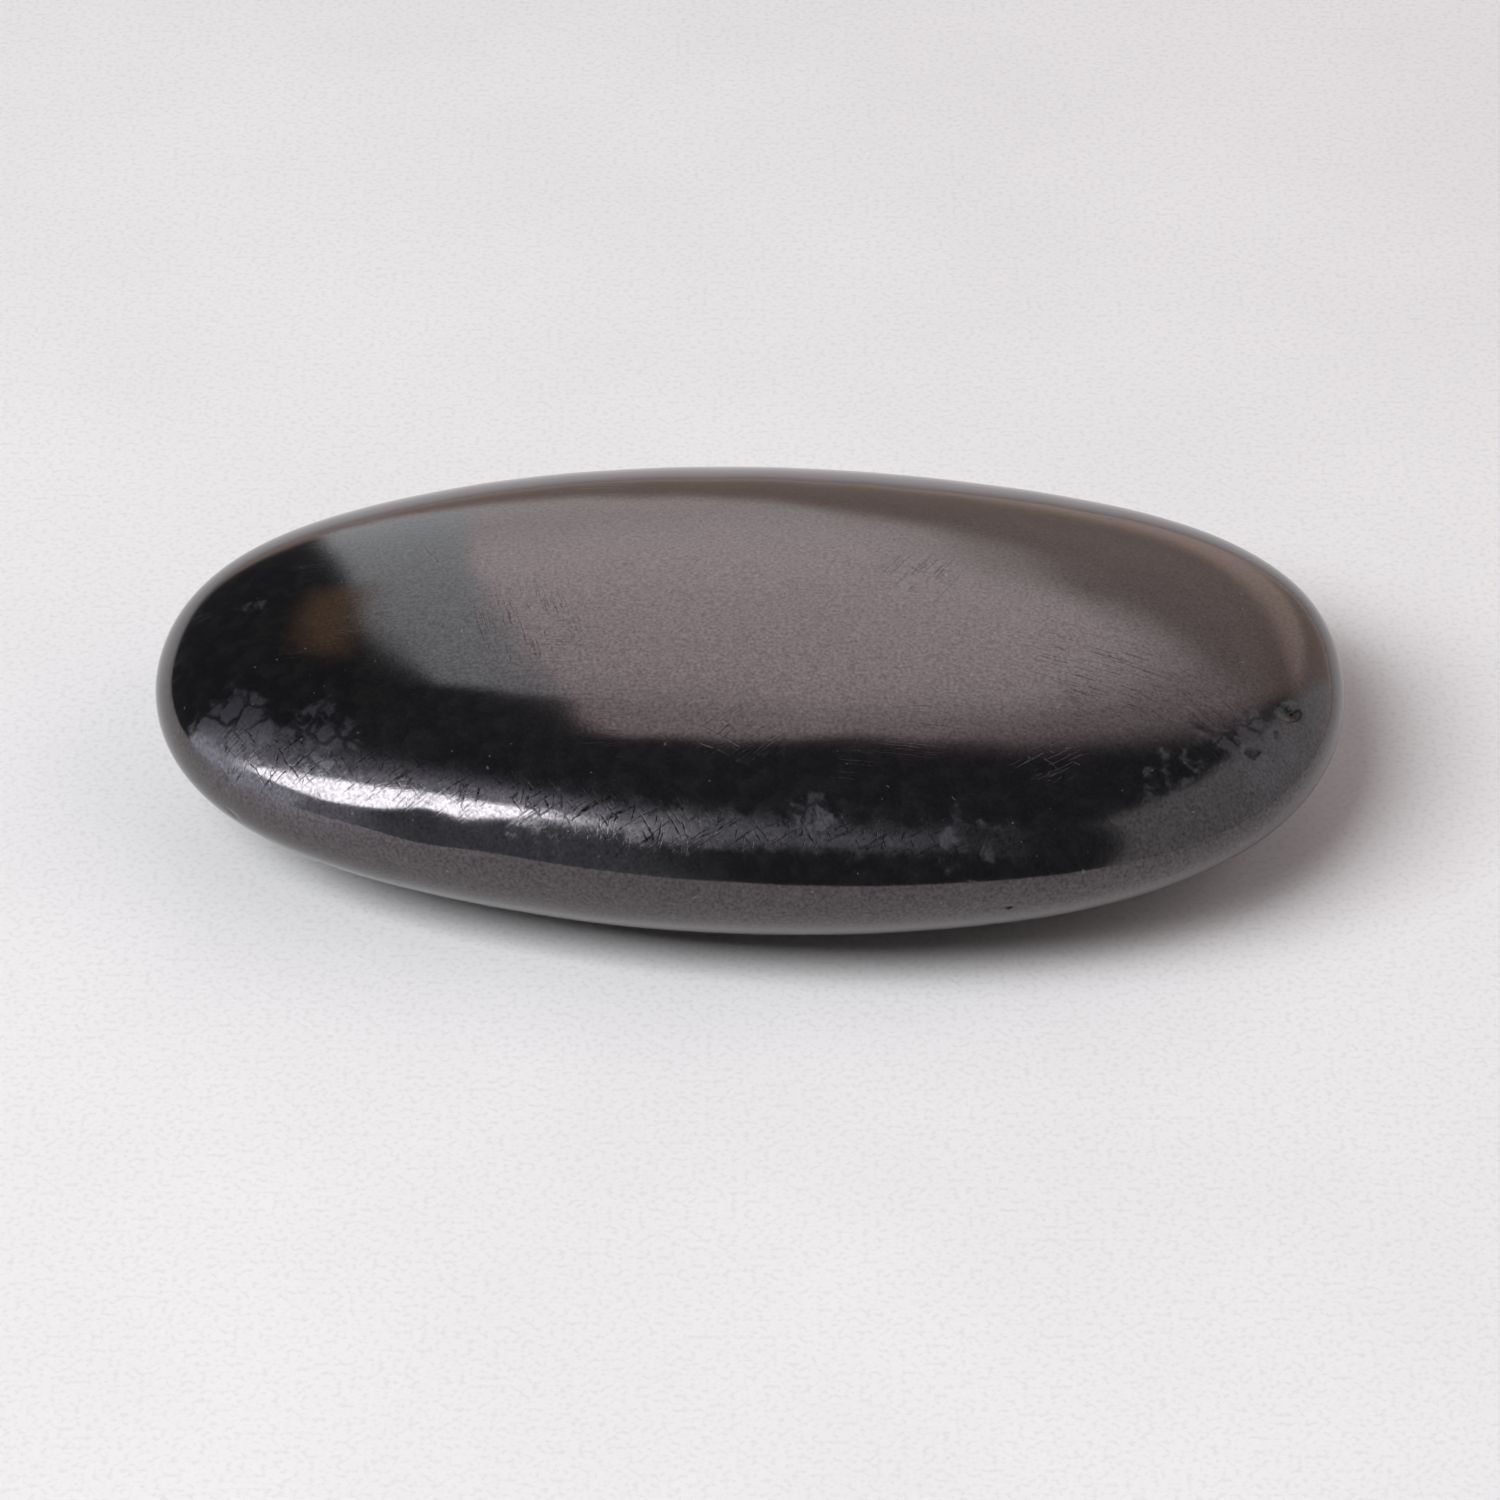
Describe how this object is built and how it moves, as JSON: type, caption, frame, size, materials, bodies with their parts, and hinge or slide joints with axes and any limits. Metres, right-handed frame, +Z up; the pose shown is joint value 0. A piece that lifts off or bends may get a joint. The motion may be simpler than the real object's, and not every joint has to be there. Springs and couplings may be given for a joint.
{
  "type": "massage stone",
  "caption": "Smooth elongated oval massage stone, polished all over, gently domed on both faces, with a small flat underneath to rest on.",
  "frame": {"origin": "on the surface the stone lies on, under the middle of its bounding box", "axes": "+X along the stone towards its blunter end, +Y across it, +Z up through its thinnest dimension"},
  "size_m": [0.07, 0.0408, 0.0159],
  "materials": {
    "polished_stone": "black stone polished by hand to a glossy surface with fine scratches"
  },
  "bodies": {
    "root": {"massage_stone": "polished_stone"}
  },
  "joints": []
}
